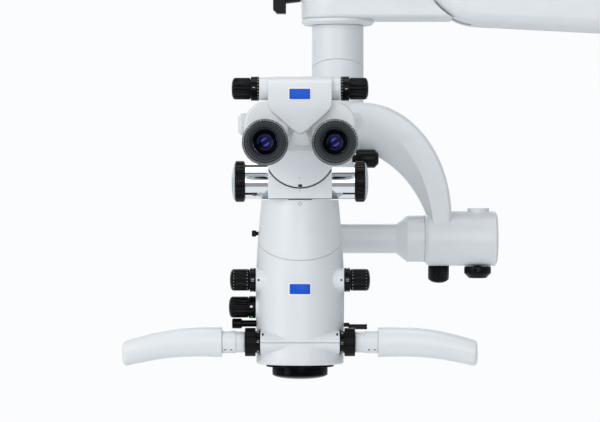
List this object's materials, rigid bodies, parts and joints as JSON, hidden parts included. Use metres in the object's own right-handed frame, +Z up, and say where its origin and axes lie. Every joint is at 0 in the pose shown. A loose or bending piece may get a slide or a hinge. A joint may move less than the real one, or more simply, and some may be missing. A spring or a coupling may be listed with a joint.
{
  "type": "surgical microscope",
  "caption": "Surgical microscope head with binocular eyepieces, magnification and focus knobs and hand grips, hung from a sprung parallelogram arm.",
  "frame": {"origin": "shoulder of the vertical pin that drops into the stand, on the pin's axis", "axes": "+Z up along the pin; the spring arm runs from the pin towards -X; the user sits on the -Y side and looks along +Y"},
  "size_m": [0.9637, 0.2646, 0.4989],
  "materials": {
    "white_enamel": "satin white enamel on cast aluminium",
    "white_shell": "smooth white moulding",
    "black_plastic": "fine matt black",
    "black_metal": "black anodised",
    "steel": "turned steel",
    "bright_chrome": "polished chrome",
    "bronze": "plain bearing bronze",
    "soft_rubber": "soft matt rubber",
    "coated_glass": "coated optical glass"
  },
  "bodies": {
    "stand_pin": {"stand_spindle": "steel", "spindle_nut": "steel"},
    "arm_base": {"rear_block": "white_enamel", "rear_block_cap": "white_shell", "rear_pivot_pins": "steel"},
    "spring_arm": {"main_beam": "steel", "spring_cartridge": "steel", "arm_cover_near": "white_shell", "arm_cover_far": "white_shell"},
    "parallel_link": {"lower_link": "steel"},
    "arm_end": {"end_block": "white_enamel", "end_block_cap": "white_shell", "front_pivot_pins": "steel", "bearing_cap": "white_enamel"},
    "column_lock": {"lock_lever": "black_plastic"},
    "carrier": {"column": "white_enamel", "column_nut": "steel", "carrier_arm": "white_enamel", "coupling_caps": "white_shell", "tilt_bush": "bronze"},
    "swing_brake": {"swing_brake_knob": "black_plastic"},
    "tilt_brake": {"tilt_brake_knob": "black_plastic"},
    "coupling_clamp": {"clamp_knob": "black_plastic"},
    "head": {"tilt_axle": "white_enamel", "rear_bracket": "white_enamel", "main_housing": "white_enamel", "upper_cover": "white_enamel", "base_housing": "white_enamel", "objective_hood": "black_metal", "protective_glass": "coated_glass", "tilt_lug": "white_enamel", "handle_necks": "white_enamel"},
    "lens_cell": {"front_lens_cell": "black_metal"},
    "magnification_control": {"magnification_knobs": "black_plastic"},
    "lens_drum": {"magnification_drum": "black_metal"},
    "filter_control": {"filter_knob": "black_plastic"},
    "aperture_control": {"aperture_knob": "black_plastic"},
    "selector": {"selector_lever": "black_plastic"},
    "focus_control": {"focus_rings": "black_plastic"},
    "side_screw": {"side_thumb_screw": "black_plastic"},
    "grip_left": {"handle_grip_left": "white_shell"},
    "grip_right": {"handle_grip_right": "white_shell"},
    "tilting_cradle": {"cradle": "white_enamel", "chrome_barrels": "bright_chrome"},
    "cradle_clamp": {"tilt_knobs": "black_plastic"},
    "pendulum": {"pendulum_base": "white_enamel"},
    "bridge": {"hinge_barrel": "white_enamel", "bridge_body": "white_enamel", "front_plate": "white_enamel"},
    "pd_control": {"pd_knobs": "black_plastic"},
    "eye_left": {"prism_housing_left": "white_enamel", "eyepiece_barrel_left": "black_metal", "eye_lens_left": "coated_glass"},
    "dioptre_left": {"dioptre_ring_left": "black_metal"},
    "cup_left": {"eyecup_left": "soft_rubber"},
    "eye_right": {"prism_housing_right": "white_enamel", "eyepiece_barrel_right": "black_metal", "eye_lens_right": "coated_glass"},
    "dioptre_right": {"dioptre_ring_right": "black_metal"},
    "cup_right": {"eyecup_right": "soft_rubber"}
  },
  "joints": [
    {"name": "arm_swivel", "type": "hinge", "parent": "stand_pin", "child": "arm_base", "pos_m": [0, 0, 0.1], "axis": [0, 0, 1], "range_deg": [-150, 150]},
    {"name": "arm_lift", "type": "hinge", "parent": "arm_base", "child": "spring_arm", "pos_m": [-0.13, 0, 0.15], "axis": [0, 1, 0], "range_deg": [-25, 25]},
    {"name": "link_swing", "type": "hinge", "parent": "arm_base", "child": "parallel_link", "pos_m": [-0.13, 0, 0.122], "axis": [0, 1, 0], "range_deg": [-25.5, 25.5]},
    {"name": "end_level", "type": "hinge", "parent": "spring_arm", "child": "arm_end", "pos_m": [-0.56, 0, 0.15], "axis": [0, 1, 0], "range_deg": [-25.5, 25.5]},
    {"name": "lock_turn", "type": "hinge", "parent": "arm_end", "child": "column_lock", "pos_m": [-0.7554, 0, 0.1245], "axis": [1, 0, 0], "range_deg": [0, 90]},
    {"name": "column_swivel", "type": "hinge", "parent": "arm_end", "child": "carrier", "pos_m": [-0.7054, 0, 0.1], "axis": [0, 0, 1], "range_deg": [-170, 170]},
    {"name": "swing_brake_turn", "type": "hinge", "parent": "carrier", "child": "swing_brake", "pos_m": [-0.6754, -0.02, -0.0458], "axis": [1, 0, 0], "range_deg": [0, 150]},
    {"name": "tilt_brake_turn", "type": "hinge", "parent": "carrier", "child": "tilt_brake", "pos_m": [-0.6018, 0, -0.127], "axis": [0, 0.309, -0.9511], "range_deg": [0, 150]},
    {"name": "clamp_turn", "type": "hinge", "parent": "carrier", "child": "coupling_clamp", "pos_m": [-0.5625, 0, -0.127], "axis": [0, 0, -1], "range_deg": [0, 150]},
    {"name": "head_tilt", "type": "hinge", "parent": "carrier", "child": "head", "pos_m": [-0.7437, 0, -0.127], "axis": [1, 0, 0], "range_deg": [-10, 60]},
    {"name": "magnification_turn", "type": "hinge", "parent": "head", "child": "magnification_control", "pos_m": [-0.7437, -0.081, -0.1673], "axis": [1, 0, 0], "continuous": true},
    {"name": "drum_turn", "type": "hinge", "parent": "head", "child": "lens_drum", "pos_m": [-0.7437, -0.056, -0.1673], "axis": [1, 0, 0], "continuous": true},
    {"name": "filter_turn", "type": "hinge", "parent": "head", "child": "filter_control", "pos_m": [-0.7947, -0.066, -0.1948], "axis": [1, 0, 0], "range_deg": [-120, 120]},
    {"name": "aperture_pull", "type": "slide", "parent": "head", "child": "aperture_control", "axis": [-1, 0, 0], "range_m": [0, 0.006]},
    {"name": "selector_swing", "type": "hinge", "parent": "head", "child": "selector", "pos_m": [-0.7067, -0.058, -0.2128], "axis": [0, 0, 1], "range_deg": [-10, 10]},
    {"name": "focus_turn", "type": "hinge", "parent": "head", "child": "focus_control", "pos_m": [-0.7437, -0.081, -0.2291], "axis": [1, 0, 0], "range_deg": [-152, 152]},
    {"name": "lens_focus", "type": "slide", "parent": "head", "child": "lens_cell", "axis": [0, 0, 1], "range_m": [-0.004, 0.004]},
    {"name": "side_screw_turn", "type": "hinge", "parent": "head", "child": "side_screw", "pos_m": [-0.7877, -0.062, -0.1214], "axis": [1, 0, 0], "range_deg": [-180, 180]},
    {"name": "grip_left_turn", "type": "hinge", "parent": "head", "child": "grip_left", "pos_m": [-0.8237, -0.081, -0.2291], "axis": [1, 0, 0], "range_deg": [-45, 45]},
    {"name": "grip_right_turn", "type": "hinge", "parent": "head", "child": "grip_right", "pos_m": [-0.6637, -0.081, -0.2291], "axis": [1, 0, 0], "range_deg": [-45, 45]},
    {"name": "cradle_tilt", "type": "hinge", "parent": "head", "child": "tilting_cradle", "pos_m": [-0.7437, -0.062, -0.0693], "axis": [1, 0, 0], "range_deg": [-20, 0]},
    {"name": "cradle_clamp_turn", "type": "hinge", "parent": "tilting_cradle", "child": "cradle_clamp", "pos_m": [-0.7437, -0.062, -0.0693], "axis": [1, 0, 0], "range_deg": [0, 150]},
    {"name": "pendulum_swing", "type": "hinge", "parent": "tilting_cradle", "child": "pendulum", "pos_m": [-0.7437, -0.112, -0.0405], "axis": [0, 1, 0], "range_deg": [-25, 25]},
    {"name": "eyepiece_tilt", "type": "hinge", "parent": "pendulum", "child": "bridge", "pos_m": [-0.7437, -0.132, -0.0142], "axis": [1, 0, 0], "range_deg": [-40, 20]},
    {"name": "pd_turn", "type": "hinge", "parent": "bridge", "child": "pd_control", "pos_m": [-0.7437, -0.162, 0.0194], "axis": [1, 0, 0], "range_deg": [-165, 140]},
    {"name": "pd_left", "type": "slide", "parent": "bridge", "child": "eye_left", "axis": [-1, 0, 0], "range_m": [-0.008, 0.0067]},
    {"name": "pd_right", "type": "slide", "parent": "bridge", "child": "eye_right", "axis": [1, 0, 0], "range_m": [-0.0081, 0.0068]},
    {"name": "dioptre_left_turn", "type": "hinge", "parent": "eye_left", "child": "dioptre_left", "pos_m": [-0.777, -0.197, -0.0333], "axis": [0, 1, 0], "range_deg": [-120, 120]},
    {"name": "eyecup_left_slide", "type": "slide", "parent": "dioptre_left", "child": "cup_left", "axis": [0, -1, 0], "range_m": [0, 0.004]},
    {"name": "dioptre_right_turn", "type": "hinge", "parent": "eye_right", "child": "dioptre_right", "pos_m": [-0.7104, -0.197, -0.0333], "axis": [0, 1, 0], "range_deg": [-120, 120]},
    {"name": "eyecup_right_slide", "type": "slide", "parent": "dioptre_right", "child": "cup_right", "axis": [0, -1, 0], "range_m": [0, 0.004]}
  ],
  "couplings": [
    {"joint": "link_swing", "follows": "arm_lift", "ratio": 1},
    {"joint": "end_level", "follows": "arm_lift", "ratio": -1},
    {"joint": "drum_turn", "follows": "magnification_turn", "ratio": -0.44706},
    {"joint": "focus_turn", "follows": "lens_focus", "rad_per_m": 654.5},
    {"joint": "pd_right", "follows": "pd_left", "ratio": 1},
    {"joint": "pd_turn", "follows": "pd_left", "rad_per_m": 349}
  ]
}
